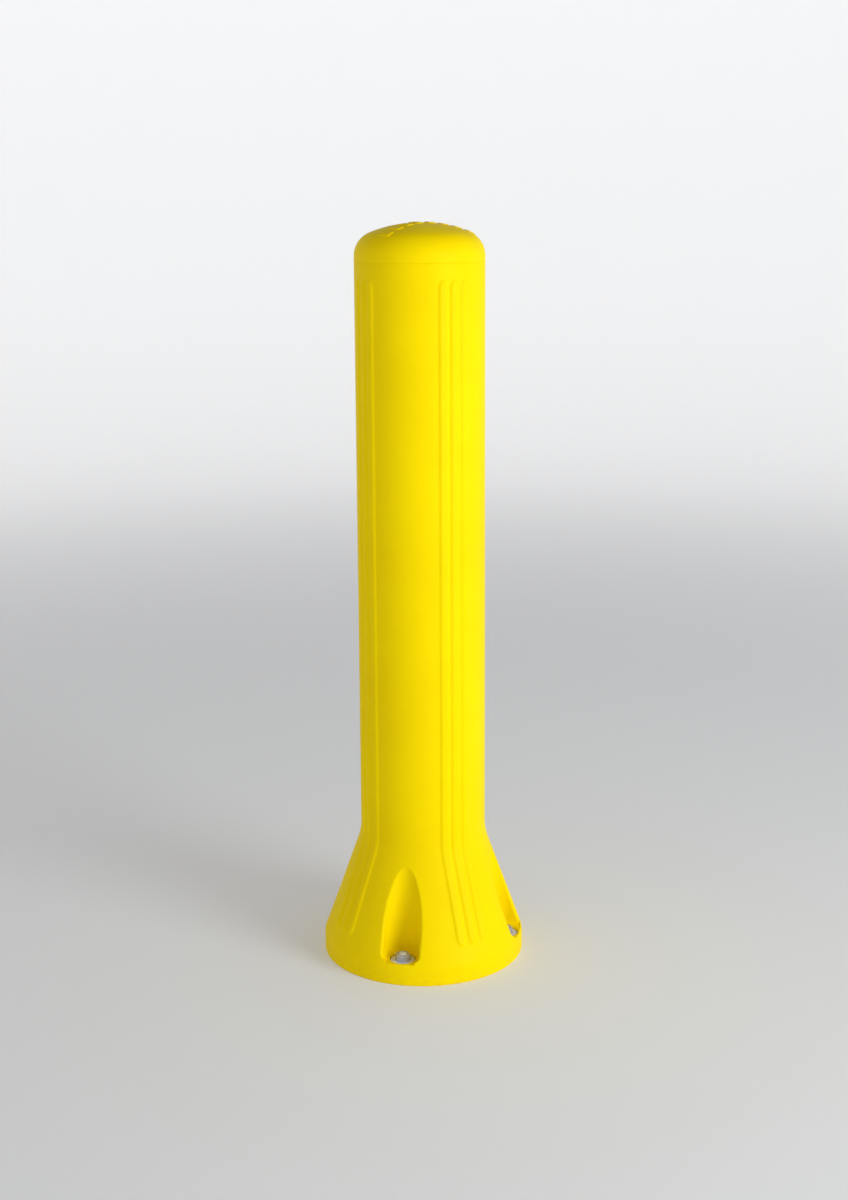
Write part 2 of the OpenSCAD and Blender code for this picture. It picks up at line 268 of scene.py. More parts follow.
def round_ring(R):
    """The outline at the pockets' floor without the pockets, its points spread where the pockets were."""
    half, edge = pocket_half(R, POCKET_R - POCKET_FILLET, POCKET_ROUND, HALF_POINTS)
    angle = np.arctan2(half[:, 0], half[:, 1])
    last = int(np.argmax(angle > edge - 1e-6))
    angle[:last] = edge * np.arange(last) / last
    angles = np.concatenate([angle, rib_angles(R)])
    points = R * np.stack([np.sin(angles), np.cos(angles)], 1)
    return assemble(points[:HALF_POINTS + 1], points[HALF_POINTS + 1:])


def rib_rise(points, z):
    """How far each point of a row stands out because of the ribs, in metres."""
    angle = np.arctan2(points[:, 0], -points[:, 1])
    radius = np.hypot(points[:, 0], points[:, 1])
    over = max(0.0, z - RIB_TOP, (RIB_FOOT - z) / math.cos(FLARE)) * RIB_HALF / RIB_FADE
    step = rib_step(outer_radius(z))
    height = RIB_H + (RIB_H_FLARE - RIB_H) * smooth((CORNER_Z - z) / NECK_ROUND)
    rise = np.zeros(len(points))
    for q in range(QUARTERS):
        for k in range(RIBS):
            mid = RIB_MID + q * math.pi / 2 + (k - (RIBS - 1) / 2) * step
            off = (angle - mid + math.pi) % (2 * math.pi) - math.pi
            t = np.hypot(off * radius, over) / RIB_HALF
            rise = np.maximum(rise, height * (1 - smooth((t - RIB_CREST) / (1 - RIB_CREST))))
    return rise


def flat_row(points, z):
    """Flat points as a row at height z."""
    return np.column_stack([points, np.full(len(points), z)])


def row(z, inset=0.0, w=POCKET_R, rho=POCKET_ROUND, ribs=True):
    """One row of the cover's skin, with its pockets and ribs."""
    points = ring(outer_radius(z, inset), w, rho)
    if ribs:
        rise = rib_rise(points, z)
        points = points * (1 + rise / np.hypot(points[:, 0], points[:, 1]))[:, None]
    return flat_row(points, z)


def inside_row(z):
    """The same row on the inside of the cover's wall."""
    return row(z, WALL, POCKET_R + POCKET_WALL, INNER_ROUND, ribs=False)


def circle_row(radius, z, like):
    """A round row whose points keep the directions of another row."""
    direction = like[:, :2] / np.hypot(like[:, 0], like[:, 1])[:, None]
    return flat_row(direction * radius, z)


def skin(name, rows):
    """A closed ring-shaped solid through rows of points: outside upwards, then inside downwards."""
    count = len(rows[0])
    points = np.concatenate(rows)
    faces = []
    for j in range(len(rows)):
        a, b = j * count, (j + 1) % len(rows) * count
        for i in range(count):
            n = (i + 1) % count
            faces.append((a + i, a + n, b + n, b + i))
    return new_mesh(name, points, faces)


def pocket_floor_rows():
    """Rows from the rim's side, over the rounded lip, in along the pockets' floors and up the fillet.

    Away from the pockets the same rows simply climb the outside of the rim.
    """
    low, high = LEDGE_Z - LIP_ROUND, LEDGE_Z + POCKET_FILLET
    R, lip = outer_radius(LEDGE_Z), outer_radius(low)
    spread = round_ring(R)
    notch = ring(R, POCKET_R - POCKET_FILLET)
    inside = smooth(np.linalg.norm(notch - spread, axis=1) / (2 * MM))[:, None]
    path = []
    for b in np.linspace(0, math.pi / 2, 6):
        shrink = (lip - LIP_ROUND * (1 - math.cos(b))) / R
        path.append(flat_row(spread * shrink, low + LIP_ROUND * math.sin(b)))
    edge = spread * ((lip - LIP_ROUND) / R)
    for t in np.linspace(0, 1, 9)[1:]:
        path.append(flat_row(edge * (1 - t) + notch * t, LEDGE_Z))
    for b in np.linspace(0, math.pi / 2, 9)[1:]:
        w = POCKET_R - POCKET_FILLET * (1 - math.sin(b))
        z = LEDGE_Z + POCKET_FILLET * (1 - math.cos(b))
        path.append(flat_row(ring(outer_radius(z), w), z))
    rows = []
    for k, points in enumerate(path):
        z = low + (high - low) * k / (len(path) - 1)
        direction = points[:, :2] / np.linalg.norm(points[:, :2], axis=1)[:, None]
        outside = flat_row(direction * outer_radius(z), z)
        rows.append(points * inside + outside * (1 - inside))
    return rows


def steps(z0, z1, step):
    """Heights from z0 to z1, both included, about step apart."""
    return list(np.linspace(z0, z1, max(1, round((z1 - z0) / step)) + 1))


def lower_cover():
    """The rim, the pockets' floors and the lower flare, up to where the upper skin takes over."""
    foot = round_ring(outer_radius(LEDGE_Z))
    rows = []
    for b in np.linspace(0, math.pi / 2, 4):
        radius = RIM_R - FOOT_ROUND * (1 - math.sin(b))
        rows.append(circle_row(radius, FOOT_ROUND * (1 - math.cos(b)), foot))
    heights = steps(FOOT_ROUND, RIM_H - RIM_REACH, RIM_ROWS)[1:]
    heights += steps(RIM_H - RIM_REACH, LEDGE_Z - LIP_ROUND, FINE_ROWS)[1:-1]
    rows += [circle_row(outer_radius(z), z, foot) for z in heights]
    rows += pocket_floor_rows()
    heights = steps(LEDGE_Z + POCKET_FILLET, FOOT_ZONE[0], FLARE_ROWS)[1:]
    heights += steps(*FOOT_ZONE, FOOT_ROWS)[1:] + steps(FOOT_ZONE[1], BEND_MID, FLARE_ROWS)[1:]
    rows += [row(z) for z in heights]
    rows += [inside_row(z) for z in INSIDE_LOW]
    for radius, z in ((FLANGE_R, FLOOR_Z), (FLANGE_R, FLANGE_Z), (RECESS_R, FLANGE_Z), (RECESS_R, 0)):
        rows.append(circle_row(radius, z, foot))
    return skin("cover_lower_moulding", rows)


def upper_cover():
    """The upper flare and the ribbed tube, up to the cap's seam."""
    fade = (RIB_TOP - 2 * MM, RIB_TOP + RIB_FADE + 1 * MM)
    heights = steps(BEND_MID, POCKET_TIPS[0], FLARE_ROWS) + steps(*POCKET_TIPS, FINE_ROWS)[1:]
    heights += steps(POCKET_TIPS[1], BEND_TOP, FLARE_ROWS)[1:] + steps(BEND_TOP, fade[0], TUBE_ROWS)[1:]
    heights += steps(*fade, FINE_ROWS)[1:] + steps(fade[1], SEAM_Z - SEAM_ROUND, PLAIN_ROWS)[1:]
    rows = [row(z) for z in heights]
    for b in np.linspace(0, math.pi / 2, 4)[1:]:
        radius = TUBE_R - SEAM_ROUND * (1 - math.cos(b))
        rows.append(circle_row(radius, SEAM_Z - SEAM_ROUND * (1 - math.sin(b)), rows[-1]))
    rows += [inside_row(z) for z in INSIDE_HIGH]
    return skin("cover_upper_moulding", rows)


def turned(profile, count=96, centre=(0, 0), closed=True):
    """Points and faces of a solid of revolution through (radius, height) points.

    A radius or a height can be a function of the angle. Points on the axis become one vertex.
    """
    points, rings = [], []
    for r, z in profile:
        if not callable(r) and r < 1e-7:
            rings.append([len(points)])
            points.append((centre[0], centre[1], z))
            continue
        rings.append(list(range(len(points), len(points) + count)))
        for i in range(count):
            a = 2 * math.pi * i / count
            reach = r(a) if callable(r) else r
            height = z(a) if callable(z) else z
            points.append((centre[0] + reach * math.cos(a), centre[1] + reach * math.sin(a), height))
    faces = []
    for a, b in zip(rings, rings[1:] + rings[:1] if closed else rings[1:]):
        for i in range(count):
            n = (i + 1) % count
            if len(a) == 1 and len(b) > 1:
                faces.append((a[0], b[n], b[i]))
            elif len(b) == 1 and len(a) > 1:
                faces.append((a[i], a[n], b[0]))
            elif len(a) > 1:
                faces.append((a[i], a[n], b[n], b[i]))
    return points, faces


def combine(name, parts):
    """One mesh from several lots of points and faces."""
    points, faces = [], []
    for p, f in parts:
        start = len(points)
        points += list(p)
        faces += [tuple(i + start for i in g) for g in f]
    return new_mesh(name, points, faces)


def soft_ring(r0, r1, z0, z1, soft, count=3):
    """Profile of a ring with rounded edges."""
    inner, outer, low, high = r0 + soft, r1 - soft, z0 + soft, z1 - soft
    corners = ((outer, low, -90), (outer, high, 0), (inner, high, 90), (inner, low, 180))
    return [(r + soft * math.cos(math.radians(a + t)), z + soft * math.sin(math.radians(a + t)))
            for r, z, a in corners for t in np.linspace(0, 90, count + 1)]


def cut(piece, cutter):
    """Takes the cutter's solids out of the piece."""
    change = piece.modifiers.new("cut", "BOOLEAN")
    change.operation, change.solver, change.object = "DIFFERENCE", "MANIFOLD", cutter
    shown = piece.evaluated_get(bpy.context.evaluated_depsgraph_get())
    mesh = bpy.data.meshes.new_from_object(shown)
    piece.modifiers.clear()
    piece.data = mesh
    bpy.data.objects.remove(cutter)


# ---------------------------------------------------------------- the cap
CAP_POINTS = 288
DOME_ROWS, HOLLOW_ROWS, HOLLOW_MARGIN = 1 * MM, 12 * MM, 4 * MM
BLOCKS, BLOCK_W, BLOCK_L, BLOCK_STEP, BLOCK_GAP, BLOCK_ROUND = 4, 12 * MM, 20 * MM, 19 * MM, 3.5 * MM, 2.2 * MM
BLOCK_SIDE = ((0, -1.5), (0, 0.35), (0.12, 0.8), (0.4, 1.15), (0.85, 1.36), (1.4, 1.4))  # inset and rise, mm
BLOCK_CORNER_POINTS = 6
ROWS_MEET = (12 * MM, -12 * MM)
ROW_TURNS = ((59, -1), (31, 1))  # degrees, and which way the row runs


def cap_height(r, inset=0.0):
    """Height of the cap's top over radius r, moved in by inset."""
    dome = DOME_R - inset
    shoulder = SHOULDER_R - inset
    meet = dome * math.sin(math.atan2(TUBE_R - SHOULDER_R, SHOULDER_Z - DOME_Z))
    if r <= meet:
        return DOME_Z + math.sqrt(dome**2 - r**2)
    return SHOULDER_Z + math.sqrt(max(0.0, shoulder**2 - (r - TUBE_R + SHOULDER_R) ** 2))


def domed_cap():
    """The cap: rounded edge at the seam, shoulder and dome outside, a plain dome and the spigot inside."""
    shoulder_turn = math.atan2(SHOULDER_Z - DOME_Z, TUBE_R - SHOULDER_R)
    profile = [(TUBE_R - SEAM_ROUND * (1 - math.sin(b)), SEAM_Z + SEAM_ROUND * (1 - math.cos(b)))
               for b in np.linspace(0, math.pi / 2, 4)]
    profile += [(TUBE_R, z) for z in steps(SEAM_Z + SEAM_ROUND, SHOULDER_Z, 5 * MM)[1:]]
    for b in np.linspace(0, shoulder_turn, 12)[1:]:
        radius = TUBE_R - SHOULDER_R + SHOULDER_R * math.cos(b)
        profile.append((radius, SHOULDER_Z + SHOULDER_R * math.sin(b)))
    meet = profile[-1][0]
    profile += [(r, cap_height(r)) for r in steps(0, meet, DOME_ROWS)[-2:0:-1]]
    profile += [(0, TOP_Z), (0, TOP_Z - WALL)]
    profile += [(r, cap_height(r, WALL)) for r in steps(0, meet - HOLLOW_MARGIN, HOLLOW_ROWS)[1:]]
    spigot = TUBE_R - WALL - SPIGOT_GAP
    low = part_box("cap")[0].z
    profile += [(spigot - WALL, SHOULDER_Z), (spigot - WALL, low), (spigot, low), (spigot, SEAM_Z)]
    blocks = [block for direction, step in ROW_TURNS for block in grip_row(direction, step)]
    return combine("cap_moulding", [turned(profile, CAP_POINTS)] + blocks)


def block_outline(inset):
    """Right half of a rounded rectangle from its near end to its far end, then the left half back."""
    x, y, r = BLOCK_W / 2 - inset, BLOCK_L / 2 - inset, max(BLOCK_ROUND - inset, 0.3 * MM)
    near = np.linspace(-math.pi / 2, 0, BLOCK_CORNER_POINTS)
    far = np.linspace(0, math.pi / 2, BLOCK_CORNER_POINTS)
    half = [(x - r + r * math.cos(a), -y + r + r * math.sin(a)) for a in near]
    half += [(x, t * (y - r)) for t in (-0.5, 0, 0.5)]
    half += [(x - r + r * math.cos(a), y - r + r * math.sin(a)) for a in far]
    return half + [(-px, py) for px, py in reversed(half)]


def grip_block(across, along, direction):
    """One plain raised block on the cap, its middle at (across, along) of a frame turned by direction."""
    c, s = math.cos(math.radians(direction)), math.sin(math.radians(direction))
    points, faces = [], []
    for inset, rise in BLOCK_SIDE:
        for px, py in block_outline(inset * MM):
            x, y = across + px, along + py
            x, y = ROWS_MEET[0] + x * c - y * s, ROWS_MEET[1] + x * s + y * c
            points.append((x, y, cap_height(math.hypot(x, y), -rise * MM)))
    count = len(block_outline(0))
    for j in range(len(BLOCK_SIDE) - 1):
        for i in range(count):
            n = (i + 1) % count
            faces.append((j * count + i, j * count + n, (j + 1) * count + n, (j + 1) * count + i))
    top = (len(BLOCK_SIDE) - 1) * count
    for i in range(count // 2 - 1):
        faces.append((top + i, top + i + 1, top + count - 2 - i, top + count - 1 - i))
        faces.append((i + 1, i, count - 1 - i, count - 2 - i))
    return points, faces


def grip_row(direction, step):
    """Blocks side by side, outwards from where the rows meet."""
    places = [step * (BLOCK_GAP + BLOCK_W / 2 + k * BLOCK_STEP) for k in range(BLOCKS)]
    return [grip_block(across, BLOCK_L / 2, direction) for across in places]


# ---------------------------------------------------------------- the anchors
ANCHORS = [(0, -ANCHOR_R), (ANCHOR_R, 0), (0, ANCHOR_R), (-ANCHOR_R, 0)]
THREAD_PITCH, THREAD_R, THREAD_DEPTH = 1.954 * MM, 6.3 * MM, 1.05 * MM
ROWS_PER_TURN = 8
WASHER_BORE_R, WASHER_R, WASHER_ROUND = 6.8 * MM, 17.45 * MM, 0.45 * MM
NUT_FLATS, NUT_BORE_R, NUT_SINK, NUT_CONE = 19 * MM, 6.1 * MM, 0.6 * MM, math.radians(28)
SMALL_POINTS = 72


def washer_seats():
    """What is taken out of the cover round each anchor: a seat with a soft edge, and the sleeve's hole."""
    under, over = FLANGE_Z - 2 * MM, LEDGE_Z + 3 * MM
    profile = [(0, under), (SLEEVE_R, under), (SLEEVE_R, FLOOR_Z), (SEAT_R, FLOOR_Z)]
    for b in np.linspace(0, math.pi / 2, 5):
        profile.append((SEAT_R + SEAT_ROUND * (1 - math.cos(b)), LEDGE_Z - SEAT_ROUND * (1 - math.sin(b))))
    profile += [(SEAT_R + SEAT_ROUND, over), (0, over)]
    return combine("washer_seats", [turned(profile, SMALL_POINTS, a, closed=False) for a in ANCHORS])


def hexagon(flats):
    """Radius of a hexagon as a function of the angle."""
    return lambda a: flats / 2 / math.cos(a % (math.pi / 3) - math.pi / 6)


def nut(centre, z0, z1):
    """A hexagon nut with both ends turned down to a cone and a countersunk bore."""
    side, face, slope = hexagon(NUT_FLATS), NUT_FLATS / 2 - 0.3 * MM, math.tan(NUT_CONE)
    wide = NUT_BORE_R + NUT_SINK
    profile = [
        (face, z0), (side, lambda a: z0 + (side(a) - face) * slope),
        (side, lambda a: z1 - (side(a) - face) * slope), (face, z1),
        (wide, z1), (NUT_BORE_R, z1 - NUT_SINK), (NUT_BORE_R, z0 + NUT_SINK), (wide, z0)]
    return turned(profile, 96, centre)


def thread(z):
    """Radius of the anchor's thread at a height, as a function of the angle."""
    def radius(a):
        phase = (z / THREAD_PITCH - a / (2 * math.pi)) % 1.0
        return THREAD_R - THREAD_DEPTH * smooth(abs(2 * phase - 1) * 1.15 - 0.1)
    return radius


def stud(centre):
    """An anchor's stud: threaded above the floor, then its shank, its neck and its spreading cone."""
    low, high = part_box("anchor_studs")[0].z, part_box("anchor_studs")[1].z
    shank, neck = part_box("anchor_studs")[1].x - ANCHOR_R, 5 * MM
    clip_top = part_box("anchor_clips")[1].z
    cone = THREAD_R - 0.2 * MM
    profile = [(0, low), (THREAD_R - 1 * MM, low), (cone, low + 0.8 * MM), (cone, low + 2 * MM)]
    profile += [(neck, low + 10 * MM), (neck, clip_top + 3 * MM)]
    profile += [(shank, clip_top + 4.5 * MM), (shank, 2.2 * MM), (THREAD_R - 1 * MM, 2.8 * MM)]
    profile += [(thread(z), z) for z in np.arange(3 * MM, high - 0.9 * MM, THREAD_PITCH / ROWS_PER_TURN)]
    profile += [(THREAD_R - THREAD_DEPTH, high - 0.5 * MM), (THREAD_R - 1.5 * MM, high), (0, high)]
    return turned(profile, 36, centre, closed=False)


def anchor_pieces():
    """Washers, nuts and studs, each with the name of its finish."""
    low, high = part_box("anchor_washers")[0].z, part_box("anchor_washers")[1].z
    washer = soft_ring(WASHER_BORE_R, WASHER_R, low, high, WASHER_ROUND)
    washers = combine("plain_washers", [turned(washer, SMALL_POINTS, a) for a in ANCHORS])
    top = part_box("anchor_nuts")[1].z
    nuts = combine("hexagon_nuts", [nut(a, high, top) for a in ANCHORS])
    studs = combine("threaded_studs", [stud(a) for a in ANCHORS])
    for piece, node, slot, turn in (
            (washers, "anchor_washers", "zinc_steel", 40), (nuts, "anchor_nuts", "zinc_steel", 20),
            (studs, "anchor_studs", "zinc_steel", 40)):
        mark_sharp(piece, turn)
        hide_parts(node)
        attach(piece, "base")
    return [(washers, "zinc_steel"), (nuts, "nut"), (studs, "zinc_steel")]


# ---------------------------------------------------------------- the ring spring
SPRING_LOW, SPRING_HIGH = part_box("ring_spring")[0].z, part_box("ring_spring")[1].z
SPRING_MID = (SPRING_LOW + SPRING_HIGH) / 2
SPRING_IN, SPRING_OUT, SPRING_EDGE = 54 * MM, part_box("ring_spring")[1].x, 1 * MM
SPRING_ROWS, SPRING_HOLD = 5 * MM, 6 * MM  # spacing of its rows, and how much of each end doesn't bend
GROOVES, GROOVE_R, GROOVE_OUT = 3, 7 * MM, 2 * MM


def spring_wall():
    """The spring's outside from the bottom up: a bevel, three round grooves and a bevel."""
    centre, reach = SPRING_OUT + GROOVE_OUT, math.acos(GROOVE_OUT / GROOVE_R)
    wall = [(SPRING_OUT - SPRING_EDGE, SPRING_LOW), (SPRING_OUT, SPRING_LOW + SPRING_EDGE)]
    for k in range(GROOVES):
        z = SPRING_LOW + (k + 1) * (SPRING_HIGH - SPRING_LOW) / (GROOVES + 1)
        turns = np.linspace(-reach, reach, 13)
        wall += [(centre - GROOVE_R * math.cos(a), z + GROOVE_R * math.sin(a)) for a in turns]
    return wall + [(SPRING_OUT, SPRING_HIGH - SPRING_EDGE), (SPRING_OUT - SPRING_EDGE, SPRING_HIGH)]


def spring_half(name, z0, z1):
    """One half of the ring spring, as a casting of its own from z0 to z1."""
    side = [(r, z) for r, z in spring_wall() if z0 - 1e-6 <= z <= z1 + 1e-6]
    profile = [side[0]]
    for a, b in zip(side, side[1:]):
        count = max(1, round((b[1] - a[1]) / SPRING_ROWS))
        for t in np.linspace(0, 1, count + 1)[1:]:
            profile.append((a[0] + (b[0] - a[0]) * t, a[1] + (b[1] - a[1]) * t))
    profile += [(SPRING_IN, z) for z in np.linspace(z1, z0, 13)]
    return combine(name, [turned(profile, 96)])


# ---------------------------------------------------------------- the pieces, and the cap riding on the post


cover_lower = lower_cover()
cut(cover_lower, washer_seats())
cover_upper = upper_cover()
cap = domed_cap()
for piece in (cover_lower, cover_upper, cap):
    mark_sharp(piece, SHARP_EDGE)
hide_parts("cover_base", "cover_neck")
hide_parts("cover_tube")
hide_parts("cap")
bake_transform(cover_lower)
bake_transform(cover_upper)
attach(cap, "post")

spring_lower = spring_half("ring_spring_lower_half", SPRING_LOW, SPRING_MID)
spring_upper = spring_half("ring_spring_upper_half", SPRING_MID, SPRING_HIGH)
for piece in (spring_lower, spring_upper):
    mark_sharp(piece, SHARP_EDGE)
    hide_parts("ring_spring")
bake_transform(spring_lower)
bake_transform(spring_upper)


# ---------------------------------------------------------------- materials
class Nodes:
    """A new node material and short ways to add nodes to it."""

    def __init__(self, name):
        self.material = bpy.data.materials.new(name)
        self.material.use_nodes = True
        self.tree = self.material.node_tree
        self.shader = self.tree.nodes["Principled BSDF"]

    def add(self, kind, **values):
        node = self.tree.nodes.new("ShaderNode" + kind)
        for key, value in values.items():
            node.inputs[key.replace("_", " ")].default_value = value
        return node

    def join(self, source, out, target, into):
        self.tree.links.new(source.outputs[out], target.inputs[into])

    def place(self, scale=(1, 1, 1)):
        """The place on the object, stretched."""
        coord, mapping = self.add("TexCoord"), self.add("Mapping", Scale=scale)
        self.join(coord, "Object", mapping, "Vector")
        return mapping

    def noise(self, place, scale, detail=3.0, roughness=0.55):
        node = self.add("TexNoise", Scale=scale, Detail=detail, Roughness=roughness)
        self.join(place, "Vector", node, "Vector")
        return node

    def between(self, source, out, low, high, start=0.3, end=0.7):
        """The source's value from start to end, taken to low to high."""
        node = self.tree.nodes.new("ShaderNodeMapRange")
        for key, value in (("From Min", start), ("From Max", end), ("To Min", low), ("To Max", high)):
            node.inputs[key].default_value = value
        self.join(source, out, node, "Value")
        return node

    def colours(self, source, out, *stops):
        """A colour ramp with stops (position, colour)."""
        ramp = self.tree.nodes.new("ShaderNodeValToRGB")
        while len(ramp.color_ramp.elements) < len(stops):
            ramp.color_ramp.elements.new(0.5)
        for element, (position, colour) in zip(ramp.color_ramp.elements, stops):
            element.position, element.color = position, colour
        self.join(source, out, ramp, "Fac")
        return ramp

    def mix(self, a, b, factor, kind="MIX"):
        """Two colours mixed by the value of a node or a number."""
        node = self.tree.nodes.new("ShaderNodeMix")
        node.data_type, node.blend_type = "RGBA", kind
        colours = [i for i in node.inputs if i.type == "RGBA"]
        for source, target in ((a, colours[0]), (b, colours[1])):
            if isinstance(source, tuple):
                target.default_value = source
            else:
                out = "Color" if "Color" in source.outputs else 0
                self.tree.links.new(source.outputs[out], target)
        if isinstance(factor, (int, float)):
            node.inputs[0].default_value = factor
        else:
            self.tree.links.new(factor.outputs[0], node.inputs[0])
        result = [o for o in node.outputs if o.type == "RGBA"][0]
        self.tree.links.new(result, self.shader.inputs["Base Color"])
        return node

    def bump(self, source, out, depth, strength=1.0, under=None):
        """Bumps of a depth in metres, on top of other bumps."""
        node = self.add("Bump", Strength=strength, Distance=depth)
        self.join(source, out, node, "Height")
        if under:
            self.join(under, "Normal", node, "Normal")
        self.join(node, "Normal", self.shader, "Normal")
        return node

    def set(self, **values):
        for key, value in values.items():
            self.shader.inputs[key.replace("_", " ")].default_value = value


def yellow_cover():
    """Satin moulded plastic: even yellow, a fine moulded grain, faint upright rub marks and dust low down."""
    n = Nodes("yellow_moulded_plastic")
    place, tall = n.place(), n.place((1, 1, 0.06))
    broad = n.noise(place, 7, 3)
    tone = n.colours(broad, "Fac", (0.3, linear(244, 211, 0)), (0.7, linear(249, 219, 0)))
    split = n.add("SeparateXYZ")
    n.join(place, "Vector", split, "Vector")
    low = n.between(split, "Z", 0.22, 0.0, 0.0, 0.03)
    low.interpolation_type = "SMOOTHSTEP"
    speck = n.noise(place, 90, 5, 0.65)
    dusty = n.between(speck, "Fac", 0.0, 1.0, 0.42, 0.75)
    both = n.tree.nodes.new("ShaderNodeMath")
    both.operation = "MULTIPLY"
    n.join(low, "Result", both, 0)
    n.join(dusty, "Result", both, 1)
    n.mix(tone, linear(178, 150, 40), both)
    rub = n.noise(tall, 60, 4, 0.6)
    n.join(n.between(rub, "Fac", 0.43, 0.56), "Result", n.shader, "Roughness")
    grain = n.noise(place, 1500, 2, 0.5)
    waves = n.noise(place, 22, 2, 0.5)
    n.bump(grain, "Fac", 0.00002, 0.5, n.bump(waves, "Fac", 0.0003, 0.3))
    n.set(Specular_IOR_Level=0.03)
    return n.material


def coated_steel():
    """Black powder coat with its orange peel and a few lighter rubbed specks."""
    n = Nodes("black_powder_coat")
    place = n.place()
    wear = n.noise(place, 160, 6, 0.7)
    tone = n.colours(
        wear, "Fac", (0.3, linear(24, 24, 26)), (0.62, linear(34, 34, 36)), (0.72, linear(72, 72, 74)))
    n.mix(tone, linear(30, 30, 32), 0.25)
    peel = n.add("TexVoronoi", Scale=900)
    n.join(place, "Vector", peel, "Vector")
    n.bump(peel, "Distance", 0.00004, 0.6)
    n.join(n.between(wear, "Fac", 0.36, 0.55), "Result", n.shader, "Roughness")
    return n.material


def galvanised_steel():
    """Hot-dip zinc with its spangle."""
    n = Nodes("hot_dip_zinc")
    place = n.place()
    cells = n.add("TexVoronoi", Scale=110)
    n.join(place, "Vector", cells, "Vector")
    grey = n.tree.nodes.new("ShaderNodeRGBToBW")
    n.join(cells, "Color", grey, "Color")
    tone = n.colours(grey, 0, (0.2, linear(146, 151, 156)), (0.8, linear(182, 186, 189)))
    cloud = n.noise(place, 14, 4)
    n.mix(tone, linear(160, 162, 162), n.between(cloud, "Fac", 0.0, 0.6))
    n.join(n.between(grey, 0, 0.32, 0.52, 0.1, 0.9), "Result", n.shader, "Roughness")
    n.bump(cloud, "Fac", 0.0002, 0.3)
    n.set(Metallic=0.9)
    return n.material


def forged_steel():
    """Machined forging: fine tool marks over a mottled grey."""
    n = Nodes("machined_forging")
    place = n.place()
    mottle = n.noise(place, 60, 5, 0.6)
    tone = n.colours(mottle, "Fac", (0.3, linear(110, 111, 114)), (0.7, linear(140, 141, 144)))
    n.mix(tone, linear(96, 92, 88), n.between(n.noise(place, 18, 3), "Fac", 0.0, 0.35, 0.5, 0.8))
    marks = n.noise(n.place((1, 1, 30)), 120, 2)
    n.bump(marks, "Fac", 0.00003, 0.6)
    n.join(n.between(marks, "Fac", 0.26, 0.42), "Result", n.shader, "Roughness")
    n.set(Metallic=1.0)
    return n.material


def zinc_steel(name="zinc_plate", low=(205, 209, 224), high=(232, 236, 248), metallic=0.12):
    """Zinc plate, a little dulled, with rolled grain."""
    n = Nodes(name)
    place = n.place()
    dull = n.noise(place, 260, 5, 0.65)
    tone = n.colours(dull, "Fac", (0.3, linear(*low)), (0.7, linear(*high)))
    shade = n.between(n.noise(place, 70, 3), "Fac", 0.0, 0.3, 0.45, 0.75)
    n.mix(tone, linear(*(0.9 * c for c in high)), shade)
    grain = n.noise(n.place((6, 1, 1)), 900, 3)
    n.bump(grain, "Fac", 0.00002, 0.5)
    n.join(n.between(dull, "Fac", 0.3, 0.46), "Result", n.shader, "Roughness")
    n.set(Metallic=metallic)
    return n.material


def dark_steel():
    """Black oxide with brighter rubbed edges of tone."""
    n = Nodes("black_oxide")
    place = n.place()
    rubbed = n.noise(place, 420, 5, 0.6)
    tone = n.colours(
        rubbed, "Fac", (0.3, linear(22, 22, 24)), (0.6, linear(44, 44, 47)), (0.75, linear(96, 97, 100)))
    n.mix(tone, linear(30, 27, 26), 0.2)
    n.bump(rubbed, "Fac", 0.00003, 0.4)
    n.join(n.between(rubbed, "Fac", 0.28, 0.42), "Result", n.shader, "Roughness")
    n.set(Metallic=0.9)
    return n.material


def bronze():
    """Sintered bronze with its open pores."""
    n = Nodes("sintered_bronze")
    place = n.place()
    pores = n.add("TexVoronoi", Scale=1400)
    n.join(place, "Vector", pores, "Vector")
    warm = n.noise(place, 120, 4)
    tone = n.colours(warm, "Fac", (0.3, linear(166, 118, 62)), (0.7, linear(196, 150, 86)))
    n.mix(linear(96, 66, 34), tone, n.between(pores, "Distance", 0.0, 1.0, 0.05, 0.3))
    n.bump(pores, "Distance", 0.00004, 0.5)
    n.join(n.between(warm, "Fac", 0.32, 0.5), "Result", n.shader, "Roughness")
    n.set(Metallic=1.0)
    return n.material


def nylon():
    """Natural nylon, a little translucent, with faint flow marks."""
    n = Nodes("natural_nylon")
    place = n.place()
    flow = n.noise(n.place((1, 1, 5)), 40, 3)
    tone = n.colours(flow, "Fac", (0.3, linear(214, 210, 192)), (0.7, linear(230, 227, 212)))
    n.mix(tone, linear(205, 198, 176), n.between(n.noise(place, 12, 2), "Fac", 0.0, 0.4))
    n.bump(n.noise(place, 700, 2), "Fac", 0.00003, 0.4)
    n.join(n.between(flow, "Fac", 0.34, 0.48), "Result", n.shader, "Roughness")
    n.set(Subsurface_Weight=0.15, Subsurface_Scale=0.004)
    return n.material


def amber_polyurethane():
    """Cast polyurethane: deep amber, glossy, with slow swirls and small bubbles."""
    n = Nodes("cast_polyurethane")
    place = n.place()
    swirl = n.noise(place, 16, 4, 0.6)
    tone = n.colours(swirl, "Fac", (0.3, linear(168, 96, 20)), (0.7, linear(206, 134, 40)))
    n.mix(tone, linear(226, 168, 82), n.between(n.noise(place, 380, 2), "Fac", 0.0, 0.5, 0.62, 0.75))
    n.bump(swirl, "Fac", 0.0003, 0.25)
    n.join(n.between(swirl, "Fac", 0.24, 0.36), "Result", n.shader, "Roughness")
    n.set(Subsurface_Weight=0.2, Subsurface_Scale=0.01)
    return n.material


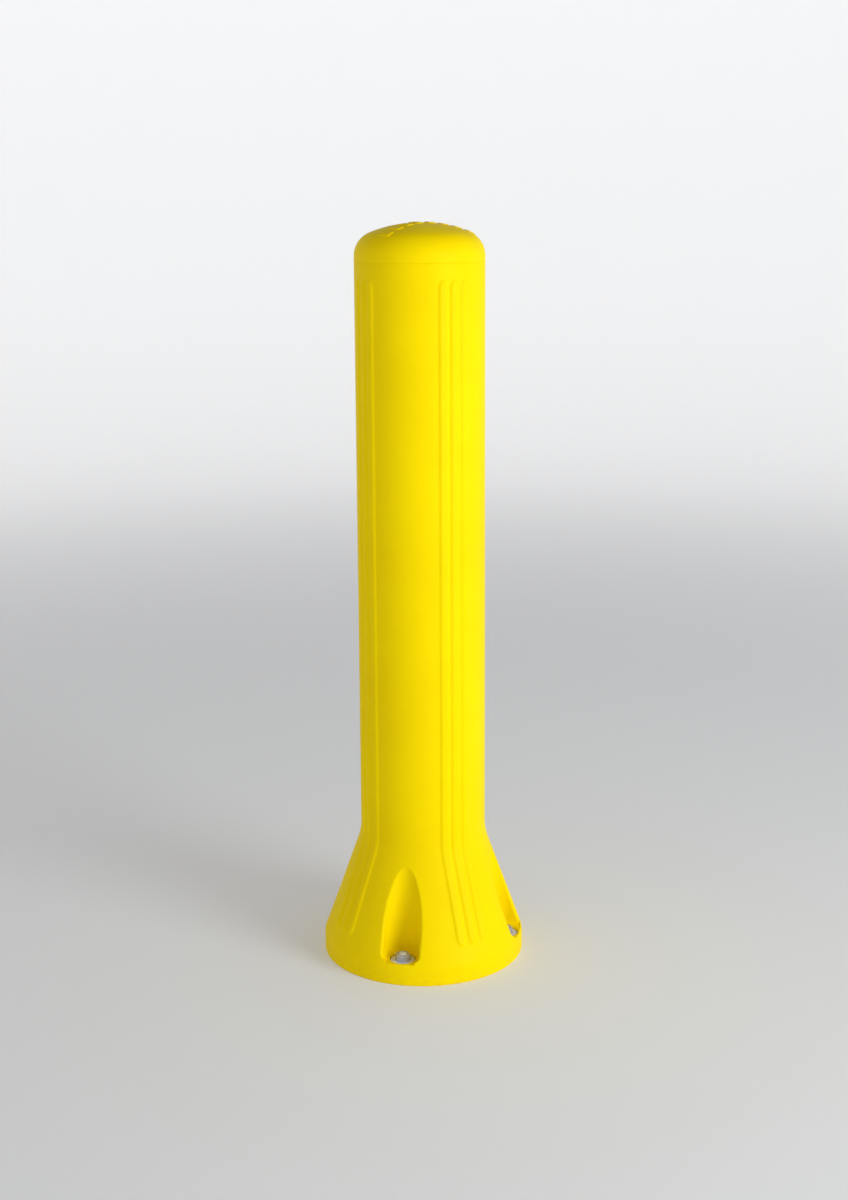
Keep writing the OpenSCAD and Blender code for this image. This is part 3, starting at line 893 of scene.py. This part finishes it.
def black_rubber():
    """Matt black rubber with a dusty bloom."""
    n = Nodes("moulded_rubber")
    place = n.place()
    bloom = n.noise(place, 34, 5, 0.65)
    tone = n.colours(bloom, "Fac", (0.35, linear(26, 26, 27)), (0.7, linear(52, 52, 51)))
    n.mix(tone, linear(38, 38, 38), 0.2)
    n.bump(n.noise(place, 1100, 2), "Fac", 0.00005, 0.5)
    n.join(n.between(bloom, "Fac", 0.62, 0.82), "Result", n.shader, "Roughness")
    return n.material


FINISH = {
    "yellow_cover": yellow_cover(),
    "painted_steel": coated_steel(),
    "galvanised_steel": galvanised_steel(),
    "forged_steel": forged_steel(),
    "zinc_steel": zinc_steel(),
    "dark_steel": dark_steel(),
    "bronze": bronze(),
    "white_nylon": nylon(),
    "amber_polyurethane": amber_polyurethane(),
    "black_rubber": black_rubber(),
    "nut": zinc_steel("bright_zinc_nut", (158, 161, 170), (204, 207, 216), 0.6),
}
for part in frame["record"]["subparts"]:
    node = frame["nodes"][part["node"]]
    node.data.materials.clear()
    node.data.materials.append(FINISH[part["material_slot"]])
moulded = [(p, "yellow_cover") for p in (cover_lower, cover_upper, cap)]
cast = [(p, "amber_polyurethane") for p in (spring_lower, spring_upper)]
for piece, slot in moulded + cast + anchor_pieces():
    piece.data.materials.clear()
    piece.data.materials.append(FINISH[slot])


# ---------------------------------------------------------------- floor, light and camera
FLOOR_FLAT, FLOOR_SWEEP, WALL_TOP = 4.2, 2.2, 4.4
WALL_GLOW = (0.12, 0.42)  # strength near the bollard and out at the wall
GLOW_ZONE = (1.5, 6.0)
SKY_STRENGTH = 0.25


def stage():
    """A pale round floor that sweeps up into a wall, both glowing as painted light, faintly by the bollard and
    more out at the wall, and a weaker light from above.
    """
    profile = [(r, 0) for r in (0, 1, 2, 3, FLOOR_FLAT)]
    for b in np.linspace(0, math.pi / 2, 17)[1:]:
        profile.append((FLOOR_FLAT + FLOOR_SWEEP * math.sin(b), FLOOR_SWEEP * (1 - math.cos(b))))
    profile.append((FLOOR_FLAT + FLOOR_SWEEP, WALL_TOP))
    floor = combine("studio_floor", [turned(profile, 96, closed=False)])
    n = Nodes("pale_glowing_floor")
    n.tree.nodes.remove(n.shader)
    away = n.tree.nodes.new("ShaderNodeVectorMath")
    away.operation = "LENGTH"
    n.join(n.place(), "Vector", away, 0)
    # Painted glow: the floor and wall emit light, faintly by the bollard and stronger out at the wall.
    glow = n.between(away, "Value", *WALL_GLOW, *GLOW_ZONE)
    glow.interpolation_type = "SMOOTHSTEP"
    emit, both = n.add("Emission"), n.add("AddShader")
    matt = n.add("BsdfDiffuse", Color=(0.75, 0.75, 0.76, 1))
    n.join(glow, "Result", emit, "Strength")
    n.join(emit, 0, both, 0)
    n.join(matt, 0, both, 1)
    n.join(both, 0, n.tree.nodes["Material Output"], "Surface")
    floor.data.materials.append(n.material)
    world = bpy.data.worlds.new("studio")
    bpy.context.scene.world = world
    world.use_nodes = True
    background = world.node_tree.nodes["Background"]
    background.inputs["Color"].default_value = (1, 1, 1, 1)
    background.inputs["Strength"].default_value = SKY_STRENGTH


def area_light(name, place, aim, size, power, colour):
    """A rectangular light at a place, facing a point."""
    data = bpy.data.lights.new(name, "AREA")
    data.shape, data.size, data.size_y = "RECTANGLE", size[0], size[1]
    data.energy, data.color = power, colour
    lamp = bpy.data.objects.new(name, data)
    bpy.context.scene.collection.objects.link(lamp)
    lamp.location = place
    lamp.rotation_euler = (Vector(aim) - Vector(place)).to_track_quat("-Z", "Y").to_euler()


CAMERA_AZIMUTH, CAMERA_PITCH, CAMERA_ROLL = math.radians(14), math.radians(11.7), math.radians(-0.35)
CAMERA_AWAY, CAMERA_HEIGHT = 2.436, 1.101
CAMERA_SHIFT = (0.0022, -0.0371)
SENSOR, FOCAL_LENGTHS = 36, 1730.3 / 1200  # sensor in mm, and the lens as a part of it


def from_camera(across, towards, up):
    """A place given as seen by the camera: across to the right, towards it and up."""
    c, s = math.cos(CAMERA_AZIMUTH), math.sin(CAMERA_AZIMUTH)
    return (across * c + towards * s, across * s - towards * c, up)


def camera():
    """The camera that the bollard is seen by, a little above its top and to the right of its front."""
    data = bpy.data.cameras.new("camera")
    data.sensor_width, data.lens = SENSOR, FOCAL_LENGTHS * SENSOR
    data.shift_x, data.shift_y = CAMERA_SHIFT
    data.clip_end = 100
    cam = bpy.data.objects.new("camera", data)
    bpy.context.scene.collection.objects.link(cam)
    place = Vector(from_camera(0, CAMERA_AWAY, CAMERA_HEIGHT))
    turn = Matrix.Rotation(CAMERA_AZIMUTH, 4, "Z") @ Matrix.Rotation(math.pi / 2 - CAMERA_PITCH, 4, "X")
    cam.matrix_world = Matrix.Translation(place) @ turn @ Matrix.Rotation(CAMERA_ROLL, 4, "Z")
    bpy.context.scene.camera = cam


KEY_PLACE, KEY_AIM, KEY_SIZE = from_camera(2.7, 2.25, 1.15), (0, 0, 0.6), (1.7, 1.8)
KEY_WATTS, KEY_COLOUR = 84, (0.94, 1, 1)

stage()
area_light("key", KEY_PLACE, KEY_AIM, KEY_SIZE, KEY_WATTS, KEY_COLOUR)
camera()
bpy.context.scene.view_settings.view_transform = "Standard"
